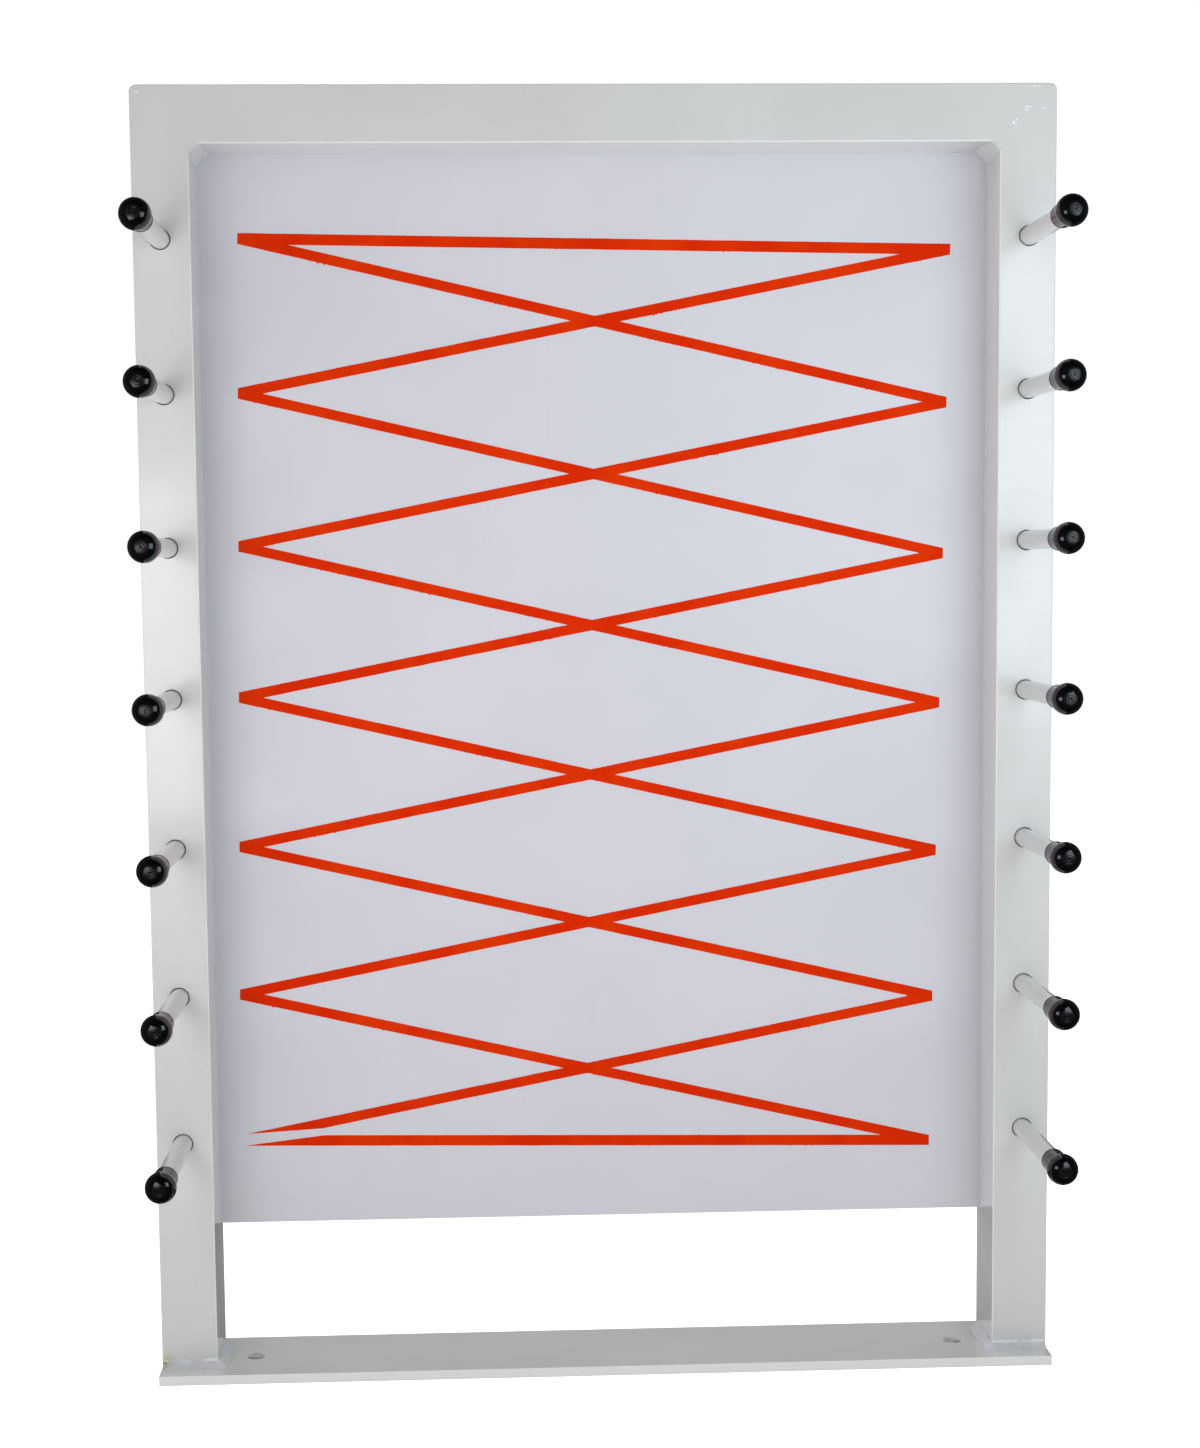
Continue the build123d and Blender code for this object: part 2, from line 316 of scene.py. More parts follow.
def make_weld_paint():
    """The same enamel over weld metal: pitted, bluish near the floor, rusting at one bead end, with a
    painted highlight along the toe of the front beads.
    """
    look = Look("weld_paint", IOR=1.5, Coat_Weight=1.0, Coat_Roughness=0.07, Coat_IOR=1.6)
    y, z = look.split(look.place)[1:]
    height = look.remap(z, 0.03, 0.10, 0.0, 1.0)
    rust_spot = look.near((-outer_half + 1.5 * MM, tube_front - 4 * MM, plate_top + 4 * MM), 2 * MM, 6 * MM)
    rust = look.times(rust_spot, look.remap(look.noise(0.002, 4.0), 0.4, 0.62, 0.0, 0.85))
    tint = look.mix(look.remap(look.noise(0.006, 3.0, 0.6), 0.35, 0.7, 0.0, 1.0),
                    look.mix(height, rgb(0.690, 0.704, 0.735), rgb(0.700, 0.705, 0.690)),
                    look.mix(height, rgb(0.735, 0.745, 0.772), rgb(0.730, 0.735, 0.722)))
    for share, colour in ((look.times(foot_stain(look), 0.7), stain_yellow),
                          # painted highlight along the upper toe of the front foot beads
                          (bead_toe_painted_highlight(look, y, z), rgb(0.97, 0.97, 0.97)),
                          (rust, rgb(0.30, 0.19, 0.07))):
        tint = look.mix(share, tint, colour)
    look.colour(tint)
    look.roughness(look.remap(look.noise(0.005, 3.0), 0.3, 0.7, 0.22, 0.45))
    look.bump((look.noise(0.0030, 2.0), 0.00005), (look.specks(0.0045, 0.3, 0.0006), -0.00010))
    return look.material


def make_spatter_painted_highlight():
    """Thin enamel over grains of spatter, glossier than the paint round them, painted near white as a
    painted highlight.
    """
    look = Look("spatter_painted_highlight", IOR=1.5, Coat_Weight=1.0, Coat_Roughness=0.05, Coat_IOR=1.8)
    # Painted highlight: the grains are painted lighter than the frame so that they look lit.
    look.colour(look.mix(look.remap(look.noise(0.0012, 3.0, 0.6), 0.35, 0.7, 0.0, 1.0),
                         rgb(0.90, 0.90, 0.91), rgb(0.80, 0.80, 0.80)))
    look.roughness(look.remap(look.noise(0.002, 2.0), 0.3, 0.7, 0.15, 0.3))
    look.bump((look.noise(0.0009, 2.0), 0.00008))
    return look.material


def make_peg_paint():
    """Neutral, slightly darker white on the round bars, with drawn streaks under the paint."""
    look = Look("peg_paint", IOR=1.5, Coat_Weight=0.7, Coat_Roughness=0.2, Coat_IOR=1.5)
    streaks = look.noise(0.0018, 3.0, 0.6, look.stretch((1.0, 0.05, 1.0)))
    grain = look.noise(0.0016, 4.0, 0.7)
    tint = look.mix(look.remap(streaks, 0.35, 0.7, 0.0, 1.0),
                    rgb(0.660, 0.664, 0.655), rgb(0.610, 0.612, 0.604))
    look.colour(look.mix(look.remap(grain, 0.55, 0.8, 0.0, 0.5), tint, rgb(0.54, 0.54, 0.53)))
    look.roughness(look.remap(grain, 0.3, 0.7, 0.32, 0.5))
    look.bump((grain, 0.00006), (streaks, 0.00003))
    return look.material


def make_board_paint():
    """Cool white satin sheet: faint clouding, hairline scuffs and a very fine grain."""
    look = Look("board_paint", IOR=1.5, Coat_Weight=0.35, Coat_Roughness=0.38, Coat_IOR=1.5)
    cloud = look.noise(0.16, 2.0)
    tint = look.mix(look.remap(cloud, 0.35, 0.65, 0.0, 1.0),
                    rgb(0.684, 0.676, 0.728), rgb(0.702, 0.694, 0.742))
    scuffs = look.noise(0.02, 4.0, 0.7, look.stretch((1.0, 1.0, 0.06)))
    look.colour(look.mix(look.remap(scuffs, 0.6, 0.8, 0.0, 0.35), tint, rgb(0.64, 0.632, 0.69)))
    look.roughness(look.remap(scuffs, 0.3, 0.7, 0.46, 0.58))
    look.bump((look.noise(0.22, 1.0), 0.0006), (look.noise(0.0012, 2.0), 0.000012))
    return look.material


def make_orange_film():
    """Orange-red matte film: slow changes in cover and a fine leathery grain."""
    look = Look("orange_film", IOR=1.45, Specular_IOR_Level=0.02)
    cover = look.noise(0.05, 4.0, 0.6)
    tint = look.mix(look.remap(cover, 0.35, 0.7, 0.0, 1.0),
                    rgb(0.715, 0.024, 0.0006), rgb(0.765, 0.038, 0.0015))
    grain = look.noise(0.0011, 3.0, 0.6)
    look.colour(look.mix(look.remap(grain, 0.55, 0.8, 0.0, 0.5), tint, rgb(0.65, 0.018, 0.0005)))
    look.roughness(look.remap(cover, 0.3, 0.7, 0.46, 0.60))
    look.bump((grain, 0.00005), (cover, 0.0001))
    return look.material


def make_knob_plastic():
    """Gloss black thermoset: polished ball, hairline scratches and dust."""
    look = Look("knob_plastic", IOR=1.6, Coat_Weight=0.0)
    scratches = look.noise(0.0009, 3.0, 0.7, look.stretch((0.12, 1.0, 1.0)))
    dust = look.specks(0.0028, 0.35, 0.00022)
    black = look.mix(look.remap(scratches, 0.5, 0.8, 0.0, 1.0),
                     rgb(0.0018, 0.0018, 0.0024), rgb(0.004, 0.004, 0.0046))
    look.colour(look.mix(look.times(dust, 0.4), black, rgb(0.10, 0.097, 0.094)))
    look.roughness(look.remap(scratches, 0.35, 0.75, 0.05, 0.12))
    look.bump((look.noise(0.0035, 2.0), 0.00003), (scratches, 0.000006))
    return look.material


def make_knob_tip():
    """The moulded flat at the tip of a ball, left satin by the mould."""
    look = Look("knob_tip", IOR=1.6)
    grain = look.noise(0.0006, 3.0, 0.7)
    look.colour(look.mix(look.remap(grain, 0.4, 0.7, 0.0, 1.0),
                         rgb(0.003, 0.003, 0.0035), rgb(0.008, 0.008, 0.009)))
    look.roughness(look.remap(grain, 0.3, 0.7, 0.20, 0.34))
    look.bump((grain, 0.00005))
    return look.material


def make_insert_brass():
    """Turned brass with tool rings and a little tarnish."""
    look = Look("insert_brass", Metallic=1.0)
    tarnish = look.noise(0.003, 4.0, 0.65)
    look.colour(look.mix(look.remap(tarnish, 0.4, 0.7, 0.0, 1.0),
                         rgb(0.80, 0.58, 0.24), rgb(0.42, 0.29, 0.13)))
    look.roughness(look.remap(tarnish, 0.3, 0.7, 0.22, 0.42))
    look.bump((look.noise(0.0005, 2.0, 0.5, look.stretch((0.2, 4.0, 0.2))), 0.00003))
    return look.material


materials = {
    "frame_paint": make_frame_paint(),
    "peg_paint": make_peg_paint(),
    "weld_paint": make_weld_paint(),
    "board_paint": make_board_paint(),
    "orange_film": make_orange_film(),
    "knob_plastic": make_knob_plastic(),
    "insert_brass": make_insert_brass(),
}
knob_tip = make_knob_tip()
spatter_painted_highlight = make_spatter_painted_highlight()

for node in frame["nodes"].values():
    for index, plain in enumerate(node.data.materials):
        node.data.materials[index] = materials[plain.name]


# ---- knobs ----
ball_at, ball_r = 36.0, 16.0        # mm from the knob's open end, and in radius
collar_r = 12.0
tip_r = 4.6
tip_edge_r = tip_r + 0.1
tip_depth = 1.1                     # mm of the tip that has the mould's satin finish


def knob_profile():
    """(distance from the open end, radius) from the pit in the tip round to the bore, in mm."""
    ring_r, ball_steps = 3.9, 44
    tip_at = ball_at + math.sqrt(ball_r ** 2 - tip_r ** 2)
    points = [(tip_at - 1.0, 0.0), (tip_at - 1.0, 0.8), (tip_at - 0.95, 1.2), (tip_at - 0.8, 1.42),
              (tip_at - 0.4, 1.5), (tip_at - 0.15, 1.6), (tip_at - 0.05, 1.8), (tip_at - 0.05, 2.4),
              (tip_at - 0.1, ring_r - 0.5), (tip_at - 0.22, ring_r - 0.2), (tip_at - 0.3, ring_r),
              (tip_at - 0.22, ring_r + 0.2), (tip_at - 0.05, ring_r + 0.42)]
    start = math.asin(tip_edge_r / ball_r)
    end = math.pi - math.asin((collar_r + 0.3) / ball_r)
    for i in range(ball_steps + 1):
        angle = start + (end - start) * i / ball_steps
        points.append((ball_at + ball_r * math.cos(angle), ball_r * math.sin(angle)))
    joint = points[-1][0]
    groove = [(joint - 0.25, 12.05), (joint - 0.6, 11.88), (joint - 1.0, 11.85), (joint - 1.3, 11.95)]
    collar = [(joint - 1.6, collar_r), (joint - 8.0, collar_r), (4.0, collar_r), (2.6, collar_r)]
    rim = [(2.3, 12.06), (2.05, 12.28), (1.8, 12.38), (0.9, 12.38), (0.45, 12.2), (0.12, 11.8),
           (0.0, 11.3), (0.0, 9.0), (0.12, 8.5), (0.5, 8.1)]
    bore = [(1.0, 8.0), (23.0, 8.0), (23.0, 6.0), (28.0, 6.0), (28.0, 0.0)]
    return points + groove + collar + rim + bore


def seam_angles(steps):
    """Angles round the axis, closer together at the two mould seams."""
    angles = [2 * math.pi * i / steps for i in range(steps)]
    for seam in (0.0, math.pi):
        angles += [seam + d for d in (-0.02, -0.01, 0.01, 0.02)]
    return sorted(a % (2 * math.pi) for a in angles)


def seam_height(angle):
    """Height of the flash left by the mould, in mm."""
    flash_height, flash_width = 0.05, 0.009
    return flash_height * math.exp(-(math.sin(angle) / flash_width) ** 2)


def make_knob(name, axis_x, axis_z, open_end, spin):
    """A turned knob with its axis along Y, its open end at open_end and its tip to the front."""
    profile = knob_profile()
    seam_from = collar_r - 0.1
    angles = seam_angles(72)
    count = len(angles)
    points, rows = [], []
    for along, radius in profile:
        rows.append(len(points))
        if radius == 0:
            points.append((axis_x, open_end - along * MM, axis_z))
            continue
        for angle in angles:
            r = (radius + (seam_height(angle) if radius > seam_from else 0)) * MM
            points.append((axis_x + r * math.cos(angle + spin), open_end - along * MM,
                           axis_z + r * math.sin(angle + spin)))
    faces = []
    for (a, b), (first, second) in zip(zip(rows, rows[1:]), zip(profile, profile[1:])):
        if first[1] == 0:
            faces += [(a, b + (i + 1) % count, b + i) for i in range(count)]
        elif second[1] == 0:
            faces += [(a + i, a + (i + 1) % count, b) for i in range(count)]
        else:
            faces += ring_faces(a, b, count)
    knob = add_mesh(name, points, faces, materials["knob_plastic"], 60)
    knob.data.materials.append(knob_tip)
    tip_ends = open_end - (ball_at + math.sqrt(ball_r ** 2 - tip_edge_r ** 2) - tip_depth) * MM
    for face in knob.data.polygons:
        if face.center.y < tip_ends:
            face.material_index = 1
    return knob


dice = random.Random(11)
for side in SIDES:
    for number in PEGS:
        node_name = f"knob_{side}_{number}"
        low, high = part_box(node_name)
        knob = make_knob(f"ball_{side}_{number}", (low.x + high.x) / 2, (low.z + high.z) / 2,
                         high.y, dice.uniform(0, math.pi))
        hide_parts(node_name)


# ---- weld beads ----
front, rear = Vector((0, -1, 0)), Vector((0, 1, 0))
up, down = Vector((0, 0, 1)), Vector((0, 0, -1))
small_leg = 3.9                     # mm, of the welds at the back


def bead(stations, leg, seed, hollow, ripple, pitch, across=14, end_taper=4.0, grow=1.0, spread=0.0,
         lip=0.0, uneven=1.0):
    """Points and faces of one fillet bead.

    Each station is (root of the corner, direction along one wall, direction along the other,
    how deep the root is buried). Ripples are crescents that the bead left as it cooled. The bead
    is grow times bigger at its far end, spread wider where it faces sideways, and has a raised
    lip of the given height along its upper toe. Uneven scales how much its size wanders.
    """
    points, faces = [], []
    travelled = [0.0]
    for before, after in zip(stations, stations[1:]):
        travelled.append(travelled[-1] + (after[0] - before[0]).length / MM)
    total = travelled[-1]
    count = across + 2
    for (root, u, v, bury), s in zip(stations, travelled):
        slow = uneven * noise.noise(Vector((s / 17, seed * 7.3, 0.5)))
        quick = uneven * noise.noise(Vector((s / 5, seed * 3.1, 4.5)))
        end = 1.0
        if end_taper:
            end = 0.35 + 0.65 * math.sqrt(min(1.0, min(s, total - s) / end_taper))
        full = leg * end * (1 + (grow - 1) * s / total)
        size_u = full * (1 + 0.09 * slow + 0.04 * quick) * (1 + spread * u.x ** 2)
        size_v = full * (1 - 0.08 * slow + 0.05 * quick)
        ridge = lip * smooth(-0.35, 0.25, noise.noise(Vector((s / 6, seed, 30.0))))
        points.append(root - (u + v) * bury)
        for i in range(across + 1):
            t = i / across
            arch = math.sin(math.pi * t)
            phase = s / pitch + 0.55 * arch + 0.25 * noise.noise(Vector((s / 9, t * 2, seed)))
            step = phase - math.floor(phase)
            crest = ripple * (1 - step) ** 1.6 * smooth(0.0, 0.12, step) * arch ** 0.6
            sag = -hollow * leg * arch
            grain = 0.05 * uneven * noise.noise(Vector((s / 1.6, t * 5, seed + 9))) * arch
            toe = ridge * math.exp(-((t - 0.9) / 0.06) ** 2)
            lift = (sag + crest + grain + toe) * MM
            diagonal = (u + v).normalized()
            points.append(root + u * (size_u * (1 - t) * MM) + v * (size_v * t * MM) + diagonal * lift)
    rows = len(stations)
    for k in range(rows - 1):
        faces += ring_faces(k * count, (k + 1) * count, count)
    faces.append(tuple(range(count)))
    faces.append(tuple((rows - 1) * count + i for i in reversed(range(count))))
    return points, faces


def join_beads(name, beads, node_name):
    """Several beads as one piece that stands for a CAD weld node."""
    points, faces = joined(beads)
    piece = add_mesh(name, points, faces, materials["weld_paint"], 55)
    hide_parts(node_name)


def straight_line(start, end, u, v, bury, step=0.5):
    length = (end - start).length / MM
    count = max(2, int(length / step))
    return [(start.lerp(end, i / count), u, v, bury) for i in range(count + 1)]


def foot_lines(side):
    """Two runs at the foot of one upright: front and inner side in one, and the back."""
    radius = 1.5 * MM               # of the tube's edge, which the bead follows
    stop = 12 * MM                  # both runs end this far from the inner back edge
    turn_steps = 24
    face_bury, side_bury = 1.2 * MM, 1.0 * MM
    out_x = outer_half - 0.4 * MM
    inward = Vector((-side, 0, 0))

    def at(x, y):
        return Vector((side * x, y, plate_top))

    line = straight_line(at(out_x, tube_front), at(inner_half + radius, tube_front), front, up, face_bury)
    centre = at(inner_half + radius, tube_front + radius)
    for i in range(1, turn_steps):
        angle = math.pi / 2 * i / turn_steps
        u = front * math.cos(angle) + inward * math.sin(angle)
        line.append((centre + u * radius, u, up, side_bury))
    line += straight_line(at(inner_half, tube_front + radius), at(inner_half, tube_back - stop),
                          inward, up, side_bury)
    rear_line = straight_line(at(inner_half + stop, tube_back), at(out_x, tube_back), rear, up, face_bury)
    return line, rear_line


def make_foot_beads():
    """The fillets at the feet, with heavy ripples and a raised toe at the front."""
    foot_leg = 8.4
    for number, (side, sign) in enumerate(SIDES.items()):
        line, rear_line = foot_lines(sign)
        join_beads(side + "_foot_bead",
                   [bead(line, foot_leg, 2.0 + number, 0.06, 0.75, 4.0, across=30, end_taper=1.5,
                         spread=0.3, lip=0.9),
                    bead(rear_line, foot_leg, 7.0 + number, 0.06, 0.6, 3.4, across=18, end_taper=2.0)],
                   side + "_foot_weld")


def make_corner_beads():
    """The smooth fills in the two top inner corners, wider towards the board."""
    front_leg, growth = 10.6, 1.27
    beads = []
    for number, sign in enumerate(SIDES.values()):
        line = straight_line(Vector((sign * inner_half, tube_front + 0.05 * MM, rail_underside)),
                             Vector((sign * inner_half, board_front, rail_underside)),
                             Vector((-sign, 0, 0)), down, 1.8 * MM)
        beads.append(bead(line, front_leg, 5.0 + number, 0.12, 0.03, 12.0, across=16, end_taper=0.0,
                          grow=growth, uneven=0.25))
    join_beads("top_corner_beads", beads, "top_corner_welds")


def make_board_beads():
    """Stitch welds behind the board: five along each upright and four along the rail."""
    beads = []
    stitch_length, stitch_pitch = 60 * MM, 240 * MM

    def stitch(start, run, wall, other_wall, seed):
        line = straight_line(start, start + run * stitch_length, wall, other_wall, 0.2 * MM)
        beads.append(bead(line, small_leg, seed, -0.02, 0.3, 2.2, across=10))

    weld_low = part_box("board_back_welds")[0].z
    for number, sign in enumerate(SIDES.values()):
        for n in range(5):
            stitch(Vector((sign * inner_half, board_back, weld_low + stitch_pitch * n)), up,
                   Vector((-sign, 0, 0)), rear, 10.0 + 5 * number + n)
    for n in range(4):
        stitch(Vector((stitch_pitch * (n - 1.5) - stitch_length / 2, board_back, rail_underside)),
               Vector((1, 0, 0)), rear, down, 20.0 + n)
    join_beads("board_back_beads", beads, "board_back_welds")


def make_peg_beads():
    """A ring weld round the back end of each peg, each one started somewhere else."""
    steps = 96
    beads = []
    for side in SIDES:
        for number in PEGS:
            low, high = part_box(f"peg_{side}_{number}")
            axis = Vector(((low.x + high.x) / 2, tube_back, (low.z + high.z) / 2))
            radius = (high.x - low.x) / 2
            line = []
            for i in range(steps + 1):
                angle = 2 * math.pi * i / steps + 0.7 * number
                u = Vector((math.cos(angle), 0, math.sin(angle)))
                line.append((axis + u * radius, u, rear, 0.5 * MM))
            beads.append(bead(line, small_leg, 30.0 + number + axis.x, 0.02, 0.3, 2.4, across=9,
                              end_taper=1.0))
    join_beads("peg_back_beads", beads, "peg_back_welds")


make_foot_beads()
make_corner_beads()
make_board_beads()
make_peg_beads()


# ---- ground mitre seams and weld spatter at the top corners ----
def seam_patch(sign, face_y, outward, seed):
    """The ground weld along one mitre: an uneven skin a tenth or two of a millimetre high."""
    inner = Vector((sign * (inner_half + 1 * MM), 0, rail_underside + 1 * MM))
    outer = Vector((sign * (outer_half - 3 * MM), 0, rail_box[1].z - 3 * MM))
    along = (outer - inner).normalized()
    across = Vector((along.z, 0, -along.x))
    length = (outer - inner).length / MM
    half = 4.2                      # mm, half the width of the seam
    height_of_skin, sunk = 0.14, 0.4
    rows, columns = int(length / 0.45), 27
    points = []
    for i in range(rows + 1):
        s = length * i / rows
        for j in range(columns):
            w = half * (2 * j / (columns - 1) - 1)
            edge = (1 - (w / half) ** 2) * smooth(0, 5, s) * smooth(0, 4, length - s)
            height = height_of_skin * edge * (0.55 + noise.noise(Vector((s / 6, w / 3, seed))))
            height -= 0.05 * (1 - smooth(0, 0.6, half - abs(w)))
            place = inner + along * (s * MM) + across * (w * MM)
            points.append(Vector((place.x, face_y + outward * height * MM, place.z)))
    back = len(points)
    border = (list(range(columns)) + [i * columns + columns - 1 for i in range(1, rows + 1)]
              + [rows * columns + j for j in range(columns - 2, -1, -1)]
              + [i * columns for i in range(rows - 1, 0, -1)])
    points += [Vector((points[i].x, face_y - outward * sunk * MM, points[i].z)) for i in border]
    faces = []
    for i in range(rows):
        faces += ring_faces(i * columns, (i + 1) * columns, columns, closed=False)
    total = len(border)
    for k in range(total):
        faces.append((border[k], back + k, back + (k + 1) % total, border[(k + 1) % total]))
    faces.append(tuple(range(back, back + total)))
    return points, faces


seed = 1.5
for face_name, face_y, outward in (("front", tube_front, -1), ("back", tube_back, 1)):
    for side, sign in SIDES.items():
        points, faces = seam_patch(sign, face_y, outward, seed)
        piece = add_mesh(f"mitre_{face_name}_{side}", points, faces, materials["frame_paint"], 60)
        seed += 5


def grain_of_spatter(centre, out, radius, height, seed):
    """One lumpy dome of weld spatter under paint, sunk a little into the face it sits on."""
    side_way = out.orthogonal().normalized()
    other_way = out.cross(side_way)
    rings, around, sunk = 6, 16, 0.25
    points = [centre + out * (height * MM)]
    for ring in range(1, rings + 1):
        t = math.pi / 2 * ring / rings
        for i in range(around):
            angle = 2 * math.pi * i / around
            wobble = 1 + 0.28 * noise.noise(Vector((2 * math.cos(angle), 2 * math.sin(angle), seed + t)))
            r = radius * math.sin(t) * wobble
            rise = height * math.cos(t) - sunk * (ring == rings)
            sideways = side_way * (r * math.cos(angle)) + other_way * (r * math.sin(angle))
            points.append(centre + (sideways + out * rise) * MM)
    faces = [(0, 1 + i, 1 + (i + 1) % around) for i in range(around)]
    for ring in range(rings - 1):
        faces += ring_faces(1 + (ring + 1) * around, 1 + ring * around, around)
    faces.append(tuple(1 + (rings - 1) * around + i for i in reversed(range(around))))
    return points, faces


def spatter(name, face_y, outward, corner_sign, grains):
    """Grains given as (distance in from the side, distance below the top, radius, height), in mm."""
    out = Vector((0, outward, 0))
    made = []
    for number, (from_side, from_top, radius, height) in enumerate(grains):
        centre = Vector((corner_sign * (outer_half - from_side * MM), face_y, rail_box[1].z - from_top * MM))
        made.append(grain_of_spatter(centre, out, radius, height, 3.7 * number + face_y))
    points, faces = joined(made)
    add_mesh(name, points, faces, spatter_painted_highlight, 80)


spatter("spatter_front_left", tube_front, -1, -1,
        [(8.6, 6.6, 2.0, 0.75), (22.5, 22.0, 2.2, 0.10), (27.0, 25.0, 1.4, 0.08)])
spatter("spatter_front_right", tube_front, -1, 1,
        [(32.6, 27.2, 1.9, 0.65), (31.0, 23.8, 2.1, 0.75), (34.8, 25.6, 1.1, 0.4), (28.2, 24.0, 1.2, 0.4),
         (13.2, 25.8, 1.8, 0.6), (15.8, 24.0, 1.0, 0.35), (16.5, 17.0, 1.1, 0.3), (46.0, 40.0, 2.3, 0.5),
         (43.4, 37.4, 1.8, 0.5), (19.5, 2.6, 1.5, 0.5), (24.5, 2.4, 1.8, 0.5), (11.0, 6.0, 1.2, 0.5)])
spatter("spatter_back", tube_back, 1, 1, [(21.0, 27.0, 1.0, 0.7), (34.0, 30.5, 1.4, 0.4)])


# ---- orange lattice ----
def ragged(s, seed, amount):
    """How far a band's edge strays outwards at distance s along it, in mm."""
    wander = 0.16 * noise.noise(Vector((s / 26, seed, 0.0)))
    fine = 0.10 * noise.noise(Vector((s / 3.2, seed, 8.0)))
    patch = smooth(0.05, 0.35, noise.noise(Vector((s / 60, seed, 20.0))))
    creep = max(0.0, noise.noise(Vector((s / 1.7, seed, 40.0))) - 0.12)
    return wander + fine + amount * patch * creep


def make_lattice():
    """Two level bands and twelve crossing bands with ragged edges, as one thin skin."""
    width, pitch, rows = 769.0, 164.0, 7
    level_band, slope_band = 11.6, 11.0
    turn = math.radians(1.1)                    # the whole lattice sits askew on the board
    split_length, split_end = 120.0, 6.5        # the bottom left corner is split open like a beak
    half = width / 2
    heights = [pitch * ((rows - 1) / 2 - n) for n in range(rows)]
    step = 1.1
    count = int(width / step)
    outlines = []

    def band(z_left, z_right, thickness, seed):
        rise = (z_right - z_left) / width
        half_thick = thickness / 2 * math.sqrt(1 + rise * rise)
        top, bottom = [], []
        for i in range(count + 1):
            x = -half + width * i / count
            middle = z_left + rise * (x + half)
            top.append((x, middle + half_thick + ragged(x + half, seed, 1.3)))
            bottom.append((x, middle - half_thick - ragged(x + half, seed + 50, 3.2)))
        outlines.append(bottom + top[::-1])

    for n, z in enumerate((heights[0], heights[-1])):
        band(z, z, level_band, 1.0 + n)
    for n, (upper, lower) in enumerate(zip(heights, heights[1:])):
        band(upper, lower, slope_band, 10.0 + n)
        band(lower, upper, slope_band, 30.0 + n)

    half_slope = math.tan(math.atan2(pitch, width) / 2)
    split_z = heights[-1] + split_length * half_slope
    wedge = [(-half - 1, heights[-1] - level_band / 2 - 1), (-half + split_length, split_z - split_end / 2),
             (-half + split_length, split_z + split_end / 2), (-half - 1, heights[-1] + level_band / 2 + 1)]
    outlines.append(wedge)

    flat, loops = [], []
    for outline in outlines:
        loops.append(list(range(len(flat), len(flat) + len(outline))))
        flat += [Vector(p) for p in outline]
    verts, _, tris, _, _, from_faces = delaunay_2d_cdt(flat, [], loops, 1, 1e-4, True)
    cut = len(outlines) - 1
    kept = [t for t, source in zip(tris, from_faces) if source and cut not in source]

    low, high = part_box("lattice_print")
    centre_x, centre_z = (low.x + high.x) / 2, (low.z + high.z) / 2
    cos_t, sin_t = math.cos(turn), math.sin(turn)

    def place(p, y):
        return Vector((centre_x + (p.x * cos_t + p.y * sin_t) * MM, y,
                       centre_z + (p.y * cos_t - p.x * sin_t) * MM))

    used = sorted({i for t in kept for i in t})
    index = {old: new for new, old in enumerate(used)}
    kept = [tuple(index[i] for i in t) for t in kept]
    points = [place(verts[i], low.y) for i in used] + [place(verts[i], high.y + 0.05 * MM) for i in used]
    back = len(used)
    sides = {}
    for t in kept:
        for a, b in zip(t, t[1:] + t[:1]):
            if (b, a) in sides:
                del sides[(b, a)]
            else:
                sides[(a, b)] = True
    faces = list(kept)
    faces += [tuple(i + back for i in reversed(t)) for t in kept]
    faces += [(b, a, a + back, b + back) for a, b in sides]
    lattice = add_mesh("lattice_film", points, faces, materials["orange_film"], 30)
    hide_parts("lattice_print")


make_lattice()


# ---- floor, lights and camera ----
def make_floor():
    """Plain pale floor that glows a little everywhere but under the base plate."""
    reach = 9.0
    glow_on_part, glow_in_view = 0.37, 0.8
    mesh = bpy.data.meshes.new("floor")
    mesh.from_pydata([(-reach, -reach, 0), (reach, -reach, 0), (reach, reach, 0), (-reach, reach, 0)],
                     [], [(0, 1, 2, 3)])
    look = Look("floor_white", IOR=1.45)
    look.colour(look.mix(look.remap(look.noise(0.4, 3.0), 0.35, 0.65, 0.0, 1.0),
                         rgb(0.84, 0.84, 0.845), rgb(0.86, 0.86, 0.86)))
    look.roughness(look.remap(look.noise(0.05, 3.0), 0.3, 0.7, 0.7, 0.85))
    look.shader.inputs["Emission Color"].default_value = rgb(1.0, 1.0, 1.0)
    x, y, _ = look.split(look.place)
    beyond_x = look.math("GREATER_THAN", look.math("ABSOLUTE", x), outer_half)
    beyond_y = look.math("GREATER_THAN", look.math("ABSOLUTE", y), plate_half_depth)
    strength = look.remap(look.node("ShaderNodeLightPath").outputs["Is Camera Ray"], 0.0, 1.0,
                          glow_on_part, glow_in_view)
    look.plug(look.times(look.math("MAXIMUM", beyond_x, beyond_y), strength),
              look.shader.inputs["Emission Strength"])
    mesh.materials.append(look.material)
    floor = bpy.data.objects.new("floor", mesh)
    floor.visible_glossy = False
    bpy.context.scene.collection.objects.link(floor)


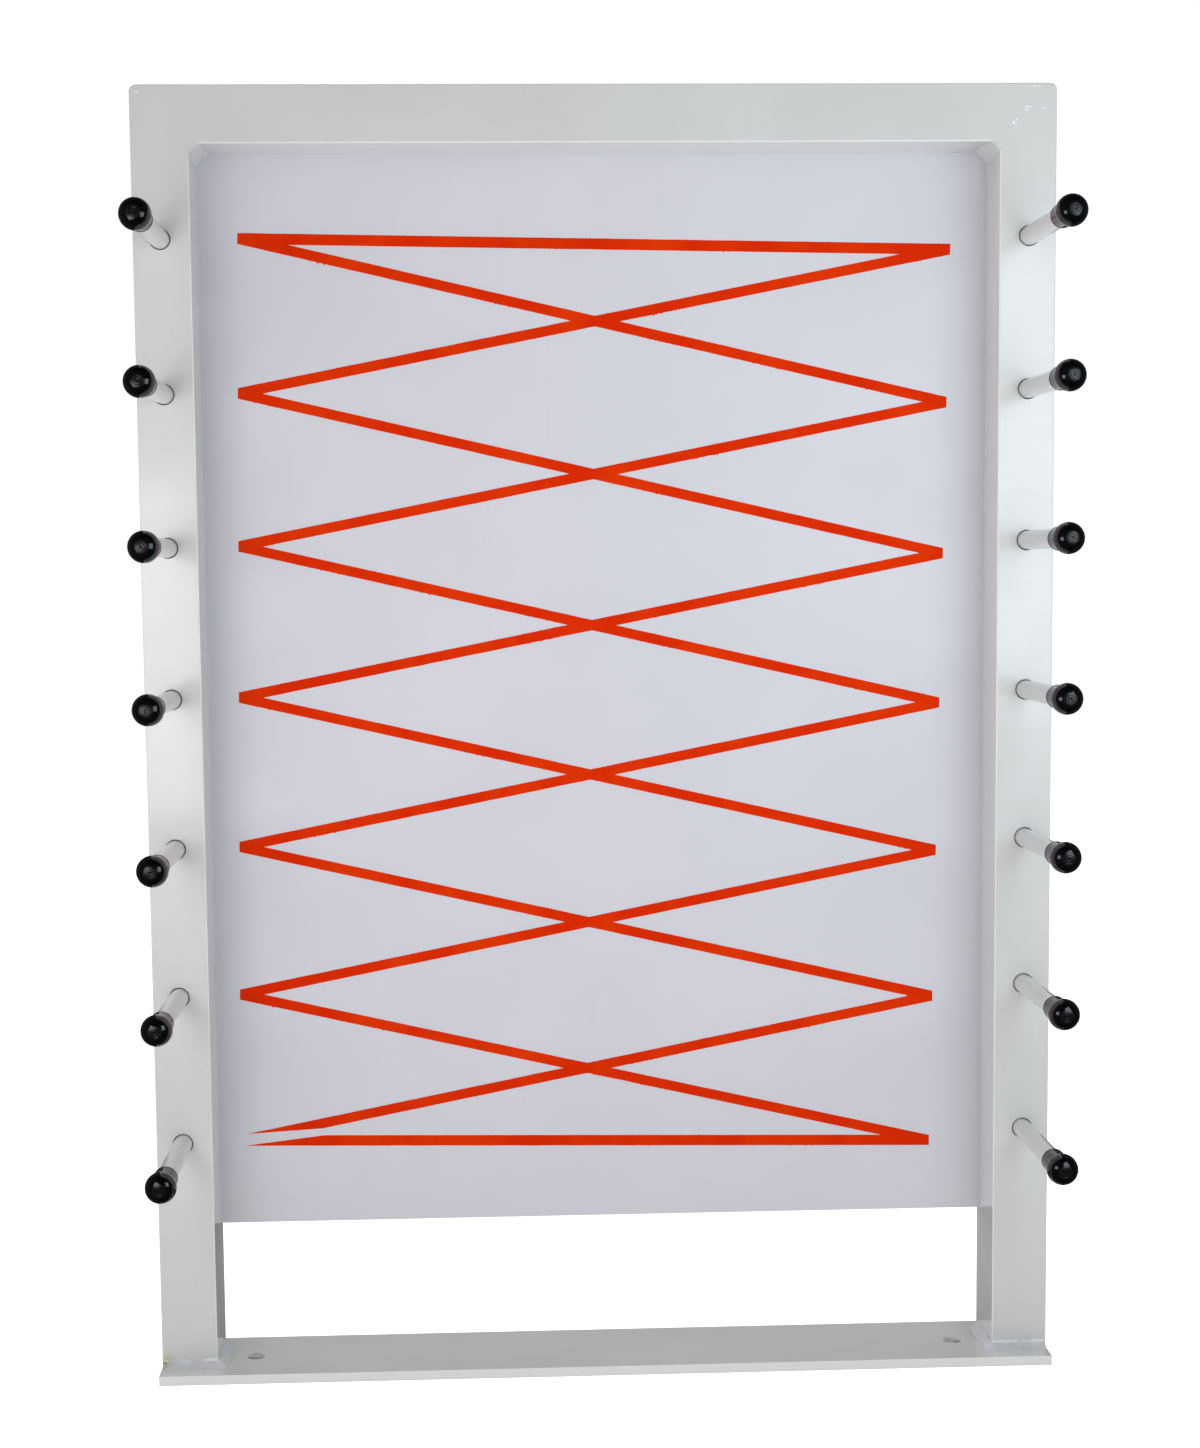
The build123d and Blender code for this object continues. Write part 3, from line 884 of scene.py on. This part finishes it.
def make_world():
    """White surroundings, brightest behind, then to the left, and dim in reflections."""
    world = bpy.data.worlds.new("studio")
    bpy.context.scene.world = world
    world.use_nodes = True
    tree = world.node_tree
    tree.nodes.clear()
    rays = tree.nodes.new("ShaderNodeLightPath")
    place = tree.nodes.new("ShaderNodeTexCoord")

    def math_node(operation, a, b, c=0.0):
        made = tree.nodes.new("ShaderNodeMath")
        made.operation = operation
        for socket, value in zip(made.inputs, (a, b, c)):
            wire(tree, value, socket)
        return made.outputs[0]

    def lobe(direction, strength):
        """Light that is strongest from one direction and fades to nothing at right angles to it."""
        dot = tree.nodes.new("ShaderNodeVectorMath")
        dot.operation = "DOT_PRODUCT"
        wire(tree, place.outputs["Generated"], dot.inputs[0])
        dot.inputs[1].default_value = direction
        return math_node("MULTIPLY", math_node("MAXIMUM", dot.outputs["Value"], 0.0), strength)

    walls = 0.0
    slant = math.sqrt(0.5)
    for direction, strength in (((-1, 0, 0), 0.62), ((0, -1, 0), 0.45), ((0, 1, 0), 0.8),
                                ((slant, slant, 0), 0.8), ((-slant, slant, 0), 0.4)):
        walls = math_node("ADD", lobe(direction, strength), walls)
    hidden_from_gloss, backdrop = 0.95, 1.05
    in_gloss = math_node("MULTIPLY_ADD", rays.outputs["Is Glossy Ray"], -hidden_from_gloss, 1.0)
    lit = math_node("MULTIPLY", walls, in_gloss)
    blend = tree.nodes.new("ShaderNodeMixShader")
    wire(tree, rays.outputs["Is Camera Ray"], blend.inputs["Fac"])
    shown = ((lit, rgb(0.99, 1.0, 0.99)), (backdrop, rgb(1.0, 1.0, 1.0)))
    for index, (strength, colour) in enumerate(shown, 1):
        background = tree.nodes.new("ShaderNodeBackground")
        background.inputs["Color"].default_value = colour
        wire(tree, strength, background.inputs["Strength"])
        tree.links.new(background.outputs["Background"], blend.inputs[index])
    output = tree.nodes.new("ShaderNodeOutputWorld")
    tree.links.new(blend.outputs["Shader"], output.inputs["Surface"])


def add_softbox(name, place, aim, width, height, power, colour):
    """A rectangular soft light aimed at a point."""
    data = bpy.data.lights.new(name, "AREA")
    data.shape = "RECTANGLE"
    data.size = width
    data.size_y = height
    data.energy = power
    data.color = colour
    lamp = bpy.data.objects.new(name, data)
    lamp.location = place
    lamp.rotation_mode = "QUATERNION"
    lamp.rotation_quaternion = (Vector(aim) - Vector(place)).to_track_quat("-Z", "Y")
    lamp.visible_camera = False
    bpy.context.scene.collection.objects.link(lamp)


def make_camera():
    """The camera stands left of the middle, a little above half height, and looks slightly down."""
    data = bpy.data.cameras.new("camera")
    data.type = "PERSP"
    data.sensor_fit = "AUTO"
    data.sensor_width = 36.0
    data.lens = 55.77
    data.shift_x = 0.0225
    data.shift_y = 0.0289
    data.clip_start, data.clip_end = 0.05, 60.0
    data.dof.use_dof = False
    stand = (-0.1297, -2.4193, 0.8755)
    heading, tilt, roll = -0.0386, -0.0894, 0.0100
    turn = (Matrix.Rotation(heading, 3, "Z") @ Matrix.Rotation(tilt, 3, "X")
            @ Matrix.Rotation(roll, 3, "Y"))
    look_right, look_forward, look_up = (turn @ Vector(axis) for axis in ((1, 0, 0), (0, 1, 0), (0, 0, 1)))
    camera = bpy.data.objects.new("camera", data)
    axes = Matrix((look_right, look_up, -look_forward)).transposed()
    camera.matrix_world = Matrix.Translation(stand) @ axes.to_4x4()
    bpy.context.scene.collection.objects.link(camera)
    bpy.context.scene.camera = camera


make_floor()
make_world()
board_middle = (0.0, 0.0, 0.72)
add_softbox("softbox_left", (-0.756, -0.838, 0.76), board_middle, 0.58, 0.50, 2.50, (0.993, 0.967, 1.0))
add_softbox("softbox_right", (0.700, -0.817, 0.99), board_middle, 0.65, 0.74, 3.90, (0.816, 0.908, 1.0))
make_camera()
bpy.context.scene.view_settings.view_transform = "Standard"
